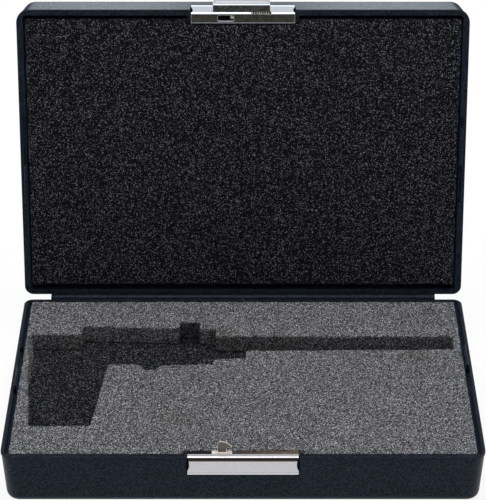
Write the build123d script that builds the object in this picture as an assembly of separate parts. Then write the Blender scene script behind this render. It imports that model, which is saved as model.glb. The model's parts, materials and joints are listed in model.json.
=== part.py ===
from build123d import *
import os
from math import cos, pi, radians, sin, sqrt, tan

# A moulded ABS case for a long-jawed caliper. Two like tray mouldings are hinged along the
# back and snap shut with a sheet-metal slide latch at the front.
# Millimetres and degrees. The origin is the middle of the base's underside, X right, Y back, Z up.
# Every piece of the lid is drawn with the case shut and then swung open to OPEN_ANGLE.

# Tray mouldings: the base and the lid are the same shape
CASE_WIDTH = 260.0
CASE_DEPTH = 175.0
HALF_HEIGHT = 30.3
FRONT_CORNER_RADIUS = 7.8
BACK_CORNER_RADIUS = 5.2
FLOOR_EDGE_RADIUS = 5.0
CAVITY_CORNER_RADIUS = 2.3
CAVITY_EDGE_CHAMFER = 1.8
WALL_DRAFT = 4.0
RIM_WIDTH = 3.4
BACK_RIM_WIDTH = 2.4
FLOOR_THICKNESS = 2.6
BAND_PROUD = 0.4
BAND_HEIGHT = 1.6
BAND_CHAMFER = 0.3
RIM_GAP = 0.1

# Hinge moulded into the back walls, with one steel rod through it
BARREL_RADIUS = 1.85
BARREL_WALL_GAP = 0.15
PIN_RADIUS = 0.9
PIN_CLEARANCE = 0.06
HINGE_LENGTH = 229.0
SHORT_KNUCKLE = 15.1
KNUCKLE_GAP = 0.2
PIN_END_INSET = 1.0
GUSSET_DROP = 6.5
GUSSET_WRAP = 38.0
WEB_DROP = 0.15
OPEN_ANGLE = 97.1
LUG_LENGTH = 8.0
LUG_THICKNESS = 1.8
LUG_CLEARANCE = 0.25
LUG_FACE_GAP = 0.75
LUG_ROOT_ANGLE = 15.0

# Tongues and recesses along the side rims, measured from the outside of the back wall
TONGUE_START = 58.0
TONGUE_LENGTH = 23.3
LONG_RECESS = 29.8
TONGUE_THICKNESS = 1.35
TONGUE_HEIGHT = 2.4
TONGUE_ROOT = 2.0
TONGUE_CLEARANCE = 0.3
TONGUE_INSET = 0.15
RECESS_SPARE_DEPTH = 0.6

# Latch bay moulded into each front wall. Out is forwards from the rim's outer edge,
# up is from the rim plane towards the other half.
BAY_SIDE_CLEARANCE = 0.6
BAY_DEPTH = 10.0
BAY_WALL = 1.8
BAY_FLOOR = 1.8
BAY_CHEEK = 2.0

# Folded latch plates, one on each half. The lid's stands further in from its rim.
HOUSING_SET_BACK = 1.2
PLATE_LENGTH = 59.6
SHEET = 0.6
PLATE_DROP = 0.35
PLATE_INBOARD = 7.3
FOLD_RADIUS = 0.8
INNER_LEAF_HEIGHT = 8.4
BEAD_RADIUS = 1.0
BEAD_INBOARD = 1.6
BEAD_TURN = 130.0
HOLLOW_RADIUS = 0.6
HOLLOW_TURN = 53.0
LEAF_STRAIGHT = 7.1
LIP_RADIUS = 0.9
LIP_TURN = 45.0
WAIST_RADIUS = 6.0
WAIST_DEPTH = 1.0
WAIST_DROP = 5.0
SEAT_CLEARANCE = 0.1
CLINCH_CLEARANCE = 0.2

# Rivets that hold each latch plate to its bay wall
PLATE_RIVET_RADIUS = 1.25
PLATE_RIVET_CLEARANCE = 0.05
PLATE_RIVET_HEAD_RADIUS = 2.0
PLATE_RIVET_HEAD_HEIGHT = 0.8
PLATE_RIVET_TAIL_RADIUS = 1.7
PLATE_RIVET_TAIL_HEIGHT = 0.25
PLATE_RIVET_SPACING = 44.0
PLATE_RIVET_DROP = 5.5

# Barbed hook on the base
HOOK_THICKNESS = 1.0
HOOK_CENTRE_X = -11.25
HOOK_STEM_WIDTH = 4.9
HOOK_HEIGHT = 6.9
HOOK_SHOULDER_RADIUS = 1.8
BARB_REACH = 2.9
BARB_TIP_HEIGHT = 3.6
BARB_TIP_THICKNESS = 0.5
BARB_NOTCH_RISE = 2.5
BARB_NOTCH_BULGE = 0.2
HOOK_FOOT_LENGTH = 11.0
HOOK_FOOT_WIDTH = 3.0
HOOK_FOOT_THICKNESS = 0.5
STAKE_LENGTH = 4.4
CLINCH_LENGTH = 6.4
CLINCH_WIDTH = 1.4
CLINCH_HEIGHT = 0.8
STAKE_CLEARANCE = 0.05

# Sliding catch and its button on the lid
CATCH_TRAVEL = 3.5
CATCH_SHEET = 0.8
CATCH_DROP = 0.35
CATCH_STEM_GAP = 1.5
CATCH_OUTER_INBOARD = 2.0
CATCH_TAB_INBOARD = 2.15
CATCH_LENGTH = 11.4
FLANGE_INBOARD = 2.55
FLANGE_DEPTH = 8.3
SPRING_ROOM_DEPTH = 4.6
FLANGE_TAIL = 10.5
SLIDER_CLEARANCE = 0.3
BUTTON_LENGTH = 32.9
BUTTON_CENTRE_X = -0.85
BUTTON_START = 1.9
BUTTON_DEPTH = 11.6
BUTTON_PROUD = 4.05
BUTTON_SKIRT_OUT = 1.5
BUTTON_NOSE_OUT = -0.35
BUTTON_NOSE_DEPTH = 2.0
BUTTON_SHEET = 0.8
BUTTON_EDGE_RADIUS = 0.9
GROOVE_DROP = 5.2
GROOVE_WIDTH = 0.7
GROOVE_DEPTH = 0.3
STEM_RADIUS = 0.9
STEM_CLEARANCE = 0.2
STEM_SPACING = 13.0
STEM_CENTRE_X = 2.5
STEM_DROP = 6.4
STEM_HEAD_RADIUS = 1.4
STEM_HEAD_HEIGHT = 0.7
HOLE_SIDE_ROOM = 0.8
HOLE_BARB_ROOM = 0.6
HOLE_WIDTH = 3.1
HOLE_CORNER = 0.7

# Coil spring behind the window in the folded edge
WIRE_RADIUS = 0.2
WIRE_SIDES = 5
COIL_RADIUS = 0.9
COIL_TURNS = 8
SPRING_LENGTH = 11.1
SPRING_OUT = -1.75
SPRING_UP = -2.2
SPRING_END_GAP = 0.1
WINDOW_INBOARD = 1.6
WINDOW_DEPTH = 4.4

# Foam. The gaps are between its edge and the inner edge of the rim.
INSERT_DROP = 0.3
INSERT_THICKNESS = 11.0
INSERT_SIDE_GAP = 1.0
INSERT_FRONT_GAP = 0.7
INSERT_BACK_GAP = 0.3
BASE_PAD_GAP = 1.3
LID_FOAM_DROP = 0.6
LID_FOAM_SIDE_GAP = 1.25
LID_FOAM_FRONT_GAP = 2.3
LID_FOAM_BACK_GAP = 3.3
FOAM_CORNER_RADIUS = 1.2
FOAM_FLOOR_CHAMFER = 1.0
FOAM_LATCH_CLEARANCE = 0.4

# Tool pocket: across is from the case's left side, down is from the outside of its back rim
JAW_ACROSS = 6.7
JAW_TIP_ACROSS = 13.2
JAW_MID_ACROSS = 8.7
JAW_BACK_DOWN = 41.6
JAW_TIP_DOWN = 143.0
JAW_TIP_RISE = 0.8
JAW_TIP_WIDTH = 33.4
JAW_SHOULDER_DOWN = 76.0
JAW_ROOT_ACROSS = 53.3
HEAD_ACROSS = 36.5
HEAD_LENGTH = 56.4
HEAD_BACK_DOWN = 31.9
HEAD_BACK_SLOPE = 2.6
LOCK_WIDTH = 11.8
LOCK_BACK_DOWN = 27.1
SHOULDER_LENGTH = 9.6
SHOULDER_BACK_DOWN = 35.5
SLOT_BACK_DOWN = 43.8
SLOT_WIDTH = 15.5
SLOT_FRONT_SLOPE = 1.5
SLOT_END_MARGIN = 8.4
SLIDE_ACROSS = 131.8
SLIDE_FRONT_DOWN = 69.2
SLIDE_FRONT_SLOPE = 1.5
THUMB_ACROSS = 113.0
THUMB_FRONT_DOWN = 76.0
THUMB_FRONT_SLOPE = 1.4
WHEEL_ACROSS = 77.2
WHEEL_WIDTH = 12.4
WHEEL_DROP = 6.4
WHEEL_FLAT = 6.7
POCKET_CORNER = 1.0

# Places that follow from the sizes above
BACK = CASE_DEPTH / 2
FRONT = -CASE_DEPTH / 2
RIM_Z = HALF_HEIGHT - RIM_GAP / 2
DRAFT_PER_MM = tan(radians(WALL_DRAFT))
HINGE_OFFSET = BARREL_RADIUS + BARREL_WALL_GAP
HINGE_Y = BACK + HINGE_OFFSET
HINGE_Z = HALF_HEIGHT
HINGE_AXIS = Axis((0, HINGE_Y, HINGE_Z), (1, 0, 0))
HINGE_HALF = HINGE_LENGTH / 2
LONG_KNUCKLE_END = HINGE_HALF - 2 * SHORT_KNUCKLE
PIN_HOLE_RADIUS = PIN_RADIUS + PIN_CLEARANCE

# The bay wall stands inside the folded plate, and its front face ends the free channel
PLATE_INNER_FACE = -PLATE_INBOARD + SHEET
BAY_WALL_BACK = PLATE_INNER_FACE + SEAT_CLEARANCE
BAY_WALL_FRONT = BAY_WALL_BACK + BAY_WALL
PLATE_UNDERSIDE = -PLATE_DROP - SHEET
BAY_WALL_TOP = PLATE_UNDERSIDE - CLINCH_HEIGHT - CLINCH_CLEARANCE
BAY_HALF = PLATE_LENGTH / 2 + BAY_SIDE_CLEARANCE

# The hook hangs in the housing's free channel, just in front of its bay wall
HOLE_OUT = BAY_WALL_FRONT + SLIDER_CLEARANCE + HOOK_THICKNESS / 2
HOOK_OUT = HOLE_OUT - HOUSING_SET_BACK
STEM_LEFT = HOOK_CENTRE_X - HOOK_STEM_WIDTH / 2
STEM_RIGHT = HOOK_CENTRE_X + HOOK_STEM_WIDTH / 2
BARB_TIP_X = STEM_RIGHT + BARB_REACH

# The catch's end lies beyond the stem and under the barb
CATCH_LEFT = STEM_RIGHT + CATCH_STEM_GAP
CATCH_RIGHT = CATCH_LEFT + CATCH_LENGTH
CATCH_TOP = PLATE_UNDERSIDE - CATCH_DROP
CATCH_UNDERSIDE = CATCH_TOP - CATCH_SHEET
SPRING_LEFT = CATCH_RIGHT + CATCH_SHEET + SPRING_END_GAP
SPRING_RIGHT = SPRING_LEFT + SPRING_LENGTH
WINDOW_START_X = SPRING_LEFT - SPRING_END_GAP
WINDOW_END_X = SPRING_RIGHT + SPRING_END_GAP
STEM_PLACES = [STEM_CENTRE_X - STEM_SPACING / 2, STEM_CENTRE_X + STEM_SPACING / 2]
RIVET_PLACES = [-PLATE_RIVET_SPACING / 2, PLATE_RIVET_SPACING / 2]

# Depths below the rim plane of the tray's floor and of the foam layers
CAVITY_DEPTH = HALF_HEIGHT - FLOOR_THICKNESS
INSERT_LOW = INSERT_DROP + INSERT_THICKNESS
INSERT_GAPS = (INSERT_SIDE_GAP, INSERT_FRONT_GAP, INSERT_BACK_GAP)
BASE_PAD_GAPS = (BASE_PAD_GAP, BASE_PAD_GAP, BASE_PAD_GAP)
LID_FOAM_GAPS = (LID_FOAM_SIDE_GAP, LID_FOAM_FRONT_GAP, LID_FOAM_BACK_GAP)

# A plane across the case at the front rim: its x is out and its y is up
LATCH_PLANE = Plane(origin=(0, FRONT, HALF_HEIGHT), x_dir=(0, -1, 0), z_dir=(-1, 0, 0))


def block(x0, x1, y0, y1, z0, z1):
    """A box between two corners."""
    middle = ((x0 + x1) / 2, (y0 + y1) / 2, (z0 + z1) / 2)
    return Pos(*middle) * Box(x1 - x0, y1 - y0, z1 - z0)


def latch_block(x0, x1, out0, out1, up0, up1):
    """A box placed from the front rim."""
    return block(x0, x1, FRONT - out1, FRONT - out0, HALF_HEIGHT + up0, HALF_HEIGHT + up1)


def cross_rod(x, up, radius, out0, out1):
    """A round bar that runs from front to back through the latch."""
    middle = (x, FRONT - (out0 + out1) / 2, HALF_HEIGHT + up)
    return Pos(*middle) * Rot(90, 0, 0) * Cylinder(radius, out1 - out0)


def long_rod(x0, x1, radius):
    """A round bar along the hinge axis."""
    return Pos((x0 + x1) / 2, HINGE_Y, HINGE_Z) * Rot(0, 90, 0) * Cylinder(radius, x1 - x0)


def close_half(shape):
    """Turn a base piece over onto the other half, as the lid lies when shut."""
    return shape.rotate(Axis((0, 0, HALF_HEIGHT), (0, 1, 0)), 180)


def mirror_up(shape):
    """Carry a latch piece that is drawn on the base's rim over to the lid's rim."""
    return mirror(shape, Plane(origin=(0, 0, HALF_HEIGHT), z_dir=(0, 0, 1)))


def swing_open(shape):
    """Swing a lid piece from shut to open about the hinge."""
    return shape.rotate(HINGE_AXIS, -OPEN_ANGLE)


def rim_plan(front_radius, back_radius):
    """The outline of the rim, with its own corner radii at front and back."""
    plan = Rectangle(CASE_WIDTH, CASE_DEPTH)
    plan = fillet(plan.vertices().sort_by(Axis.Y)[:2], front_radius)
    return fillet(plan.vertices().sort_by(Axis.Y)[-2:], back_radius)


def drafted_block(half_width, front, back, top_z, bottom_z):
    """A sharp-edged block whose sides slope inwards to its underside as the tray's walls do."""
    height = top_z - bottom_z
    slope = height * DRAFT_PER_MM
    width = 2 * half_width
    depth = back - front
    wedge = Wedge(width, height, depth, slope, slope, width - slope, depth - slope)
    return Pos(0, (front + back) / 2, (top_z + bottom_z) / 2) * Rot(-90, 0, 0) * wedge


def upright_edges(solid):
    """The slanted corner edges of a drafted block, front ones first."""
    return solid.edges().group_by(Axis.Z)[1].sort_by(Axis.Y)


def inner_block(top, bottom, gaps, corner):
    """A block between two depths inside the tray's walls, clear of them by the gaps."""
    side_gap, front_gap, back_gap = gaps
    slope = top * DRAFT_PER_MM
    half_width = CASE_WIDTH / 2 - RIM_WIDTH - slope - side_gap
    front = FRONT + RIM_WIDTH + slope + front_gap
    back = BACK - BACK_RIM_WIDTH - slope - back_gap
    slab = drafted_block(half_width, front, back, HALF_HEIGHT - top, HALF_HEIGHT - bottom)
    return fillet(upright_edges(slab), corner)


def tray():
    """The drafted tray with its rim band, hollowed from the rim."""
    band_z = RIM_Z - BAND_HEIGHT
    plan = rim_plan(FRONT_CORNER_RADIUS, BACK_CORNER_RADIUS)
    band = extrude(Pos(0, 0, band_z) * plan, BAND_HEIGHT)
    band_edges = band.faces().sort_by(Axis.Z)[-1].edges()
    band = chamfer(band_edges, BAND_CHAMFER)
    half_width = CASE_WIDTH / 2 - BAND_PROUD
    walls = drafted_block(half_width, FRONT + BAND_PROUD, BACK - BAND_PROUD, band_z, 0)
    walls = fillet(upright_edges(walls)[:2], FRONT_CORNER_RADIUS - BAND_PROUD)
    walls = fillet(upright_edges(walls)[-2:], BACK_CORNER_RADIUS)
    floor_edges = walls.faces().sort_by(Axis.Z)[0].edges()
    walls = fillet(floor_edges, FLOOR_EDGE_RADIUS)
    cavity = inner_block(RIM_GAP / 2, CAVITY_DEPTH, (0, 0, 0), CAVITY_CORNER_RADIUS)
    cavity_edges = cavity.faces().sort_by(Axis.Z)[0].edges()
    cavity = chamfer(cavity_edges, CAVITY_EDGE_CHAMFER)
    return band + walls - cavity


def knuckle(x0, x1):
    """One hinge barrel with the gusset that carries it from the back wall."""
    wrap = radians(GUSSET_WRAP)
    heel_y = HINGE_Y + BARREL_RADIUS * sin(wrap)
    heel_z = HINGE_Z - BARREL_RADIUS * cos(wrap)
    wall_y = BACK - BAND_PROUD - GUSSET_DROP * DRAFT_PER_MM
    web_z = HINGE_Z - WEB_DROP
    root_y = BACK - BACK_RIM_WIDTH / 2
    outline = Polyline(
        (root_y, web_z), (HINGE_Y, web_z), (heel_y, heel_z),
        (wall_y, HINGE_Z - GUSSET_DROP), (root_y, HINGE_Z - GUSSET_DROP), close=True)
    gusset = extrude(Plane.YZ.offset(x0) * make_face(outline), x1 - x0)
    return gusset + long_rod(x0, x1, BARREL_RADIUS)


def stop_lug(x):
    """A curved lug under the barrels. The lid's lug comes down onto it when the case is open."""
    inner = BARREL_RADIUS + LUG_CLEARANCE
    outer = inner + LUG_THICKNESS
    sweep = 180 - LUG_ROOT_ANGLE - OPEN_ANGLE / 2 - LUG_FACE_GAP
    ring = Circle(outer) - Circle(inner)
    first = radians(180 + LUG_ROOT_ANGLE)
    middle = first + radians(sweep / 2)
    last = first + radians(sweep)
    reach = 2 * outer
    wedge = make_face(Polyline(
        (0, 0), (reach * cos(first), reach * sin(first)), (reach * cos(middle), reach * sin(middle)),
        (reach * cos(last), reach * sin(last)), close=True))
    plane = Plane(origin=(x - LUG_LENGTH / 2, HINGE_Y, HINGE_Z), x_dir=(0, 1, 0), z_dir=(1, 0, 0))
    return extrude(plane * (ring & wedge), LUG_LENGTH)


def rim_lock():
    """Tongues and recesses of the side rims, returned as what is added and what is cut."""
    tongue_end = TONGUE_START + TONGUE_LENGTH
    second_end = tongue_end + TONGUE_LENGTH
    long_end = tongue_end + LONG_RECESS
    inner = CASE_WIDTH / 2 - RIM_WIDTH
    tongue_in = inner + TONGUE_INSET
    tongue_out = tongue_in + TONGUE_THICKNESS
    recess_out = tongue_out + TONGUE_CLEARANCE
    recess_z = RIM_Z - TONGUE_HEIGHT - RECESS_SPARE_DEPTH
    top_z = RIM_Z + TONGUE_HEIGHT
    added = []
    for side, start in ((-1, tongue_end), (1, TONGUE_START)):
        low = BACK - start - TONGUE_LENGTH + TONGUE_CLEARANCE
        high = BACK - start - TONGUE_CLEARANCE
        x0, x1 = sorted((side * tongue_in, side * tongue_out))
        tongue = block(x0, x1, low, high, RIM_Z - TONGUE_ROOT, top_z)
        lead = tongue.faces().sort_by(Axis.Z)[-1].edges()
        added.append(chamfer(lead, TONGUE_THICKNESS / 4))
    cut = []
    for side, start, end in ((-1, TONGUE_START, tongue_end), (-1, second_end, long_end),
                             (1, tongue_end, long_end)):
        x0, x1 = sorted((side * (inner - RIM_WIDTH / 2), side * recess_out))
        cut.append(block(x0, x1, BACK - end, BACK - start, recess_z, top_z))
    return added, cut


def latch_bay(set_back):
    """The set-back wall, floor and cheeks of the bay that a latch plate is folded over."""
    outer = BAY_HALF + BAY_CHEEK
    foot = -BAY_DEPTH - BAY_FLOOR
    wall_back = BAY_WALL_BACK - set_back
    wall_front = BAY_WALL_FRONT - set_back
    reach = -RIM_WIDTH / 2
    wall = latch_block(-outer, outer, wall_back, wall_front, foot, BAY_WALL_TOP)
    floor = latch_block(-outer, outer, wall_back, reach - BAND_PROUD, foot, -BAY_DEPTH)
    left = latch_block(-outer, -BAY_HALF, wall_back, reach, foot, BAY_WALL_TOP)
    right = latch_block(BAY_HALF, outer, wall_back, reach, foot, BAY_WALL_TOP)
    opening = latch_block(-BAY_HALF, BAY_HALF, wall_front, RIM_WIDTH, -BAY_DEPTH, RIM_WIDTH)
    return wall + floor + left + right, opening


def half_moulding(set_back):
    """One whole half of the case, in the base's place, with its latch bay set back by so much."""
    bay, bay_opening = latch_bay(set_back)
    tongues, recesses = rim_lock()
    half_gap = KNUCKLE_GAP / 2
    shell = tray() + bay - bay_opening
    short_start = LONG_KNUCKLE_END + SHORT_KNUCKLE
    for x0, x1 in ((-HINGE_HALF, -short_start), (-LONG_KNUCKLE_END, 0),
                   (LONG_KNUCKLE_END, short_start)):
        shell += knuckle(x0 + half_gap, x1 - half_gap)
    for x in (-LONG_KNUCKLE_END, LONG_KNUCKLE_END):
        shell += stop_lug(x)
    shell = shell + tongues - recesses
    shell -= long_rod(-HINGE_HALF, HINGE_HALF, PIN_HOLE_RADIUS)
    hole = PLATE_RIVET_RADIUS + PLATE_RIVET_CLEARANCE
    for x in RIVET_PLACES:
        shell -= cross_rod(x, -PLATE_RIVET_DROP, hole, -PLATE_INBOARD - set_back, 0)
    return shell


def hinge_pin():
    """The steel rod that both mouldings turn on, with rounded ends."""
    half = HINGE_HALF - PIN_END_INSET
    rod = long_rod(-half, half, PIN_RADIUS)
    return chamfer(rod.edges().filter_by(GeomType.CIRCLE), PIN_RADIUS / 4)


def heading_vector(heading):
    """A unit vector along a heading."""
    return cos(radians(heading)), sin(radians(heading))


def turned(point, heading, radius, turn):
    """Where an arc that starts at a point ends, and its heading there. A left turn is positive."""
    side = 1 if turn > 0 else -1
    end_heading = heading + turn
    centre = (point[0] - side * radius * sin(radians(heading)),
              point[1] + side * radius * cos(radians(heading)))
    end = (centre[0] + side * radius * sin(radians(end_heading)),
           centre[1] - side * radius * cos(radians(end_heading)))
    return end, end_heading


def folded_sheet(inset):
    """The plate's section line, at a depth below its outer face: points and headings."""
    start = (-PLATE_INBOARD + inset, -PLATE_DROP - INNER_LEAF_HEIGHT)
    fold = (start[0], -PLATE_DROP - FOLD_RADIUS)
    fold_end, heading = turned(fold, 90, FOLD_RADIUS - inset, -90)
    bead = (-BEAD_INBOARD, fold_end[1])
    bead_end, heading = turned(bead, heading, BEAD_RADIUS - inset, -BEAD_TURN)
    hollow_end, heading = turned(bead_end, heading, HOLLOW_RADIUS + inset, HOLLOW_TURN)
    lip = (hollow_end[0] + LEAF_STRAIGHT * cos(radians(heading)),
           hollow_end[1] + LEAF_STRAIGHT * sin(radians(heading)))
    lip_end = turned(lip, heading, LIP_RADIUS + inset, LIP_TURN)[0]
    return [
        Line(start, fold),
        JernArc(fold, (0, 1), FOLD_RADIUS - inset, -90),
        Line(fold_end, bead),
        JernArc(bead, (1, 0), BEAD_RADIUS - inset, -BEAD_TURN),
        JernArc(bead_end, heading_vector(-BEAD_TURN), HOLLOW_RADIUS + inset, HOLLOW_TURN),
        Line(hollow_end, lip),
        JernArc(lip, heading_vector(HOLLOW_TURN - BEAD_TURN), LIP_RADIUS + inset, LIP_TURN),
    ], start, lip_end


def folded_plate():
    """The bent plate that both halves share: inner leaf, flat, bead, hollowed leaf and lip."""
    outer, outer_start, outer_end = folded_sheet(0)
    inner, inner_start, inner_end = folded_sheet(SHEET)
    outline = outer + inner + [Line(outer_start, inner_start), Line(outer_end, inner_end)]
    section = make_face(Curve() + outline)
    plate = extrude(LATCH_PLANE * section, PLATE_LENGTH / 2, both=True)
    for side in (-1, 1):
        x = side * (PLATE_LENGTH / 2 + WAIST_RADIUS - WAIST_DEPTH)
        plate -= cross_rod(x, -WAIST_DROP, WAIST_RADIUS, -BEAD_INBOARD - BEAD_RADIUS, BEAD_RADIUS * 2)
    hole = PLATE_RIVET_RADIUS + PLATE_RIVET_CLEARANCE
    for x in RIVET_PLACES:
        plate -= cross_rod(x, -PLATE_RIVET_DROP, hole, -PLATE_INBOARD - SHEET, BAY_WALL_BACK)
    return plate


def plate_rivets():
    """Two rivets through the inner leaf and the bay wall, heads inside the channel."""
    rivets = []
    for x in RIVET_PLACES:
        shank = cross_rod(x, -PLATE_RIVET_DROP, PLATE_RIVET_RADIUS, -PLATE_INBOARD, BAY_WALL_FRONT)
        head_end = BAY_WALL_FRONT + PLATE_RIVET_HEAD_HEIGHT
        head = cross_rod(x, -PLATE_RIVET_DROP, PLATE_RIVET_HEAD_RADIUS, BAY_WALL_FRONT, head_end)
        tail_end = -PLATE_INBOARD - PLATE_RIVET_TAIL_HEIGHT
        tail = cross_rod(x, -PLATE_RIVET_DROP, PLATE_RIVET_TAIL_RADIUS, tail_end, -PLATE_INBOARD)
        rivets.append(shank + head + tail)
    return rivets


def strike_plate():
    """The base's folded plate, with the slot that the hook is staked through."""
    half_slot = STAKE_LENGTH / 2 + STAKE_CLEARANCE
    half_width = HOOK_THICKNESS / 2 + STAKE_CLEARANCE
    slot = latch_block(
        HOOK_CENTRE_X - half_slot, HOOK_CENTRE_X + half_slot,
        HOOK_OUT - half_width, HOOK_OUT + half_width, PLATE_UNDERSIDE - SHEET, 0)
    return folded_plate() - slot


def latch_hook():
    """The barbed hook: a flat blank on a foot, staked and clinched under the plate."""
    foot_top = HOOK_FOOT_THICKNESS - PLATE_DROP
    shoulder = HOOK_SHOULDER_RADIUS
    notch = BARB_TIP_HEIGHT - BARB_TIP_THICKNESS
    crown = (STEM_LEFT + shoulder, HOOK_HEIGHT)
    side = (STEM_LEFT, HOOK_HEIGHT - shoulder)
    tip = (BARB_TIP_X, BARB_TIP_HEIGHT)
    under_tip = (BARB_TIP_X, notch)
    stem_top = (STEM_RIGHT, BARB_NOTCH_RISE)
    hollow = (STEM_RIGHT + BARB_REACH / 3, (notch + BARB_NOTCH_RISE) / 2 + BARB_NOTCH_BULGE)
    outline = [
        Line((STEM_LEFT, foot_top), side),
        JernArc(side, (0, 1), shoulder, -90),
        TangentArc(crown, tip, tangent=(1, 0)),
        Line(tip, under_tip),
        ThreePointArc(under_tip, hollow, stem_top),
        Line(stem_top, (STEM_RIGHT, foot_top)),
        Line((STEM_RIGHT, foot_top), (STEM_LEFT, foot_top)),
    ]
    plane = Plane(origin=(0, FRONT - HOOK_OUT, HALF_HEIGHT), x_dir=(1, 0, 0), z_dir=(0, -1, 0))
    blade = extrude(plane * make_face(Curve() + outline), HOOK_THICKNESS / 2, both=True)
    half_foot = HOOK_FOOT_LENGTH / 2
    foot = latch_block(
        HOOK_CENTRE_X - half_foot, HOOK_CENTRE_X + half_foot,
        HOOK_OUT - HOOK_FOOT_WIDTH / 2, HOOK_OUT + HOOK_FOOT_WIDTH / 2, -PLATE_DROP, foot_top)
    foot = fillet(foot.edges().filter_by(Axis.Z), HOOK_FOOT_WIDTH / 4)
    half_stake = STAKE_LENGTH / 2
    half_blade = HOOK_THICKNESS / 2
    stake = latch_block(
        HOOK_CENTRE_X - half_stake, HOOK_CENTRE_X + half_stake,
        HOOK_OUT - half_blade, HOOK_OUT + half_blade, PLATE_UNDERSIDE - CLINCH_HEIGHT, foot_top)
    half_clinch = CLINCH_LENGTH / 2
    clinch = latch_block(
        HOOK_CENTRE_X - half_clinch, HOOK_CENTRE_X + half_clinch,
        HOOK_OUT - CLINCH_WIDTH / 2, HOOK_OUT + CLINCH_WIDTH / 2,
        PLATE_UNDERSIDE - CLINCH_HEIGHT, PLATE_UNDERSIDE)
    return blade + foot + stake + clinch


def latch_housing():
    """The lid's folded plate, with the hook's hole, the spring's window and the stems' slots."""
    hole_left = STEM_LEFT - HOLE_SIDE_ROOM
    hole_right = BARB_TIP_X + HOLE_BARB_ROOM
    hole = latch_block(
        hole_left, hole_right, HOLE_OUT - HOLE_WIDTH / 2, HOLE_OUT + HOLE_WIDTH / 2,
        PLATE_UNDERSIDE - SHEET, 0)
    hole = fillet(hole.edges().filter_by(Axis.Z), HOLE_CORNER)
    window = latch_block(
        WINDOW_START_X, WINDOW_END_X, -WINDOW_INBOARD, BEAD_RADIUS, -WINDOW_DEPTH, BEAD_RADIUS)
    below = latch_block(
        WINDOW_START_X, WINDOW_END_X, -FLANGE_INBOARD, BEAD_RADIUS, -WINDOW_DEPTH, PLATE_UNDERSIDE)
    plate = folded_plate() - hole - window - below
    room = STEM_RADIUS + STEM_CLEARANCE
    for x in STEM_PLACES:
        slot = latch_block(
            x - room, x + room + CATCH_TRAVEL, -FLANGE_INBOARD, BEAD_RADIUS * 2,
            -STEM_DROP - room, -STEM_DROP + room)
        plate -= slot
    tab = latch_block(
        WINDOW_END_X, WINDOW_END_X + SHEET, SPRING_OUT - COIL_RADIUS, -BEAD_INBOARD,
        SPRING_UP - COIL_RADIUS, -PLATE_DROP - SHEET / 2)
    return plate + tab


def catch_plate():
    """The sliding catch: a web that goes under the barb, a flange for the stems, a spring tab."""
    inner = HOLE_OUT - HOOK_THICKNESS / 2
    flange_back = -FLANGE_INBOARD - CATCH_SHEET
    web = latch_block(
        CATCH_LEFT, CATCH_RIGHT, inner, -CATCH_OUTER_INBOARD, CATCH_UNDERSIDE, CATCH_TOP)
    flange = latch_block(
        CATCH_LEFT, CATCH_RIGHT, flange_back, -FLANGE_INBOARD, -FLANGE_DEPTH, CATCH_TOP)
    tail = latch_block(
        CATCH_RIGHT - CATCH_SHEET, CATCH_RIGHT + FLANGE_TAIL, flange_back, -FLANGE_INBOARD,
        -FLANGE_DEPTH, -SPRING_ROOM_DEPTH)
    tab = latch_block(
        CATCH_RIGHT, CATCH_RIGHT + CATCH_SHEET, flange_back, -CATCH_TAB_INBOARD,
        SPRING_UP - COIL_RADIUS, CATCH_TOP)
    plate = web + flange + tail + tab
    hole = STEM_RADIUS + PLATE_RIVET_CLEARANCE
    for x in STEM_PLACES:
        plate -= cross_rod(x, -STEM_DROP, hole, flange_back - SHEET, -FLANGE_INBOARD + SHEET)
    return plate


def slider_button():
    """The pressed button: an open-backed cap with rounded edges and a groove across its face."""
    half = BUTTON_LENGTH / 2
    x0 = BUTTON_CENTRE_X - half
    x1 = BUTTON_CENTRE_X + half
    low = -BUTTON_START - BUTTON_DEPTH
    nose = -BUTTON_START - BUTTON_NOSE_DEPTH
    cap = latch_block(x0, x1, BUTTON_NOSE_OUT, BUTTON_PROUD, low, -BUTTON_START)
    outer_face = cap.faces().sort_by(Axis.Y)[0]
    cap = fillet(outer_face.edges(), BUTTON_EDGE_RADIUS)
    inside = latch_block(
        x0 + BUTTON_SHEET, x1 - BUTTON_SHEET, BUTTON_NOSE_OUT - SHEET, BUTTON_PROUD - BUTTON_SHEET,
        low + BUTTON_SHEET, -BUTTON_START - BUTTON_SHEET)
    skirt = latch_block(
        x0 - SHEET, x1 + SHEET, BUTTON_NOSE_OUT - SHEET, BUTTON_SKIRT_OUT, low - SHEET, nose)
    groove_up = -BUTTON_START - GROOVE_DROP
    groove = latch_block(
        x0 + 2 * BUTTON_SHEET, x1 - 2 * BUTTON_SHEET, BUTTON_PROUD - GROOVE_DEPTH,
        BUTTON_PROUD + SHEET, groove_up - GROOVE_WIDTH / 2, groove_up + GROOVE_WIDTH / 2)
    return cap - inside - skirt - groove


def slider_rivets():
    """Two stems that join the button to the catch through the housing's slots."""
    stems = []
    flange_back = -FLANGE_INBOARD - CATCH_SHEET
    for x in STEM_PLACES:
        shank = cross_rod(x, -STEM_DROP, STEM_RADIUS, flange_back, BUTTON_PROUD - BUTTON_SHEET)
        head = cross_rod(
            x, -STEM_DROP, STEM_HEAD_RADIUS, flange_back - STEM_HEAD_HEIGHT, flange_back)
        stems.append(shank + head)
    return stems


def helix_point(turn):
    """Centre and heading of the spring wire after so many turns, from the spring's left end."""
    pitch = (SPRING_LENGTH - 2 * WIRE_RADIUS) / COIL_TURNS
    angle = 2 * pi * turn
    point = Vector(
        SPRING_LEFT + WIRE_RADIUS + pitch * turn,
        FRONT - SPRING_OUT + COIL_RADIUS * cos(angle),
        HALF_HEIGHT + SPRING_UP + COIL_RADIUS * sin(angle))
    heading = Vector(
        pitch / (2 * pi), -COIL_RADIUS * sin(angle), COIL_RADIUS * cos(angle)).normalized()
    return point, heading


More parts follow.
